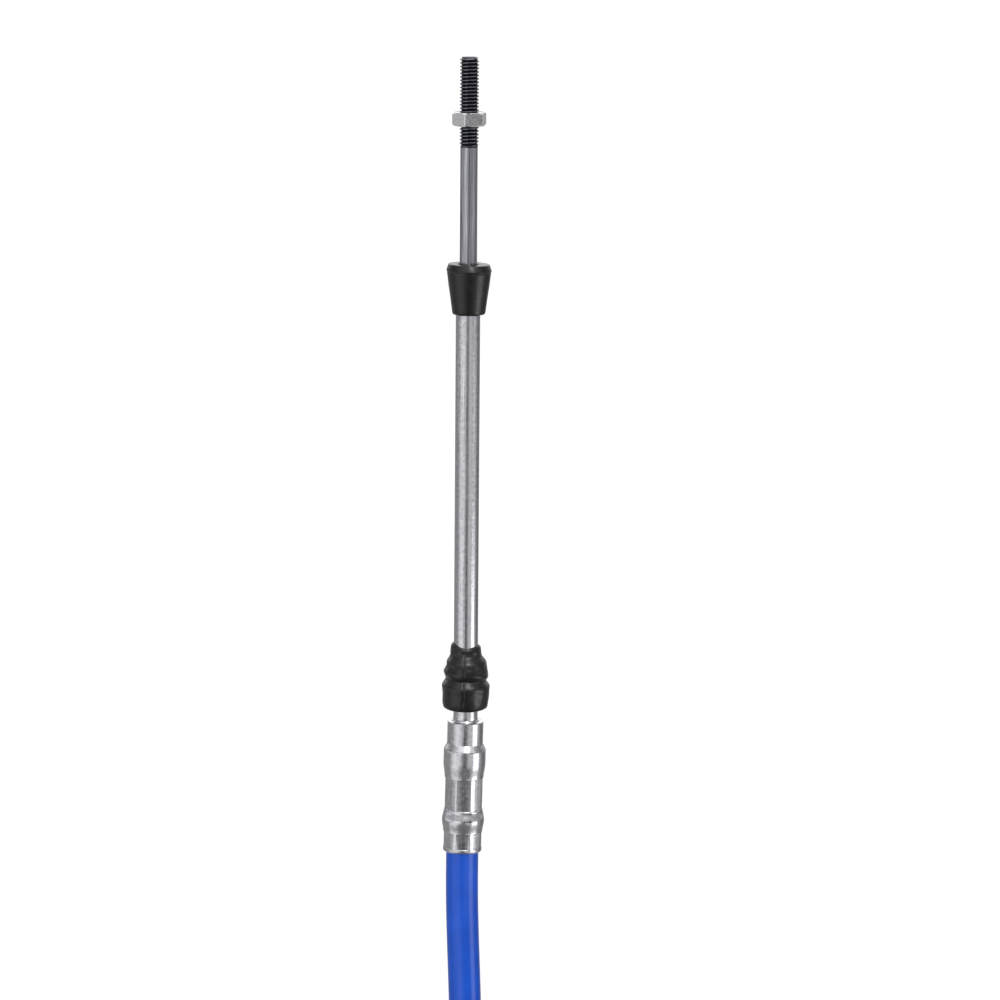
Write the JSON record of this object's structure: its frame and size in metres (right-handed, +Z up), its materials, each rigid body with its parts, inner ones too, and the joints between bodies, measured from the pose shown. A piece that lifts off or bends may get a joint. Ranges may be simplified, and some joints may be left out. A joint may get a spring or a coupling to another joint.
{
  "type": "boat control cable",
  "caption": "Push-pull control cable in a blue jacket, with a crimped hub, swivelling support tube, rubber boot and threaded sliding rod at each end, spare length coiled.",
  "frame": {"origin": "on the floor, below the middle of the line between the two rod tips", "axes": "+Y along the cable's end fittings towards rod tip A, +Z up from the floor, the coil on the +X side"},
  "size_m": [0.1008, 0.54, 0.0268],
  "materials": {
    "bright_steel": "bright drawn stainless steel",
    "rod_steel": "plain ground steel rod with a dark rolled thread",
    "zinc_plate": "satin zinc plate",
    "black_rubber": "moulded rubber, slightly glossy",
    "blue_jacket": "extruded plastic jacket, semi-gloss",
    "black_nylon": "moulded nylon, satin"
  },
  "bodies": {
    "cable": {"hub_a": "bright_steel", "hub_b": "bright_steel", "conduit_run_a": "blue_jacket", "conduit_run_b": "blue_jacket", "conduit_coil": "blue_jacket", "coil_tie_1": "black_nylon", "coil_tie_2": "black_nylon", "coil_tie_3": "black_nylon"},
    "sleeve_a": {"support_tube_a": "bright_steel", "swivel_boot_a": "black_rubber", "rod_seal_a": "black_rubber"},
    "rod_a": {"end_rod_a": "rod_steel"},
    "nut_a": {"jam_nut_a": "zinc_plate"},
    "sleeve_b": {"support_tube_b": "bright_steel", "swivel_boot_b": "black_rubber", "rod_seal_b": "black_rubber"},
    "rod_b": {"end_rod_b": "rod_steel"},
    "nut_b": {"jam_nut_b": "zinc_plate"}
  },
  "joints": [
    {"name": "swivel_a", "type": "hinge", "parent": "cable", "child": "sleeve_a", "pos_m": [0, 0.09464, 0.0063], "axis": [0, 0, 1], "range_deg": [-9.1, 6.9]},
    {"name": "stroke_a", "type": "slide", "parent": "sleeve_a", "child": "rod_a", "axis": [0, 1, 0], "range_m": [-0.033, 0.043]},
    {"name": "nut_turn_a", "type": "hinge", "parent": "rod_a", "child": "nut_a", "pos_m": [0, 0.25415, 0.0063], "axis": [0, 1, 0], "continuous": true},
    {"name": "swivel_b", "type": "hinge", "parent": "cable", "child": "sleeve_b", "pos_m": [0, -0.08464, 0.0063], "axis": [0, 0, 1], "range_deg": [-8, 8]},
    {"name": "stroke_b", "type": "slide", "parent": "sleeve_b", "child": "rod_b", "axis": [0, -1, 0], "range_m": [-0.043, 0.033]},
    {"name": "nut_turn_b", "type": "hinge", "parent": "rod_b", "child": "nut_b", "pos_m": [0, -0.25415, 0.0063], "axis": [0, -1, 0], "continuous": true}
  ],
  "couplings": [
    {"joint": "stroke_b", "follows": "stroke_a", "ratio": -1}
  ]
}
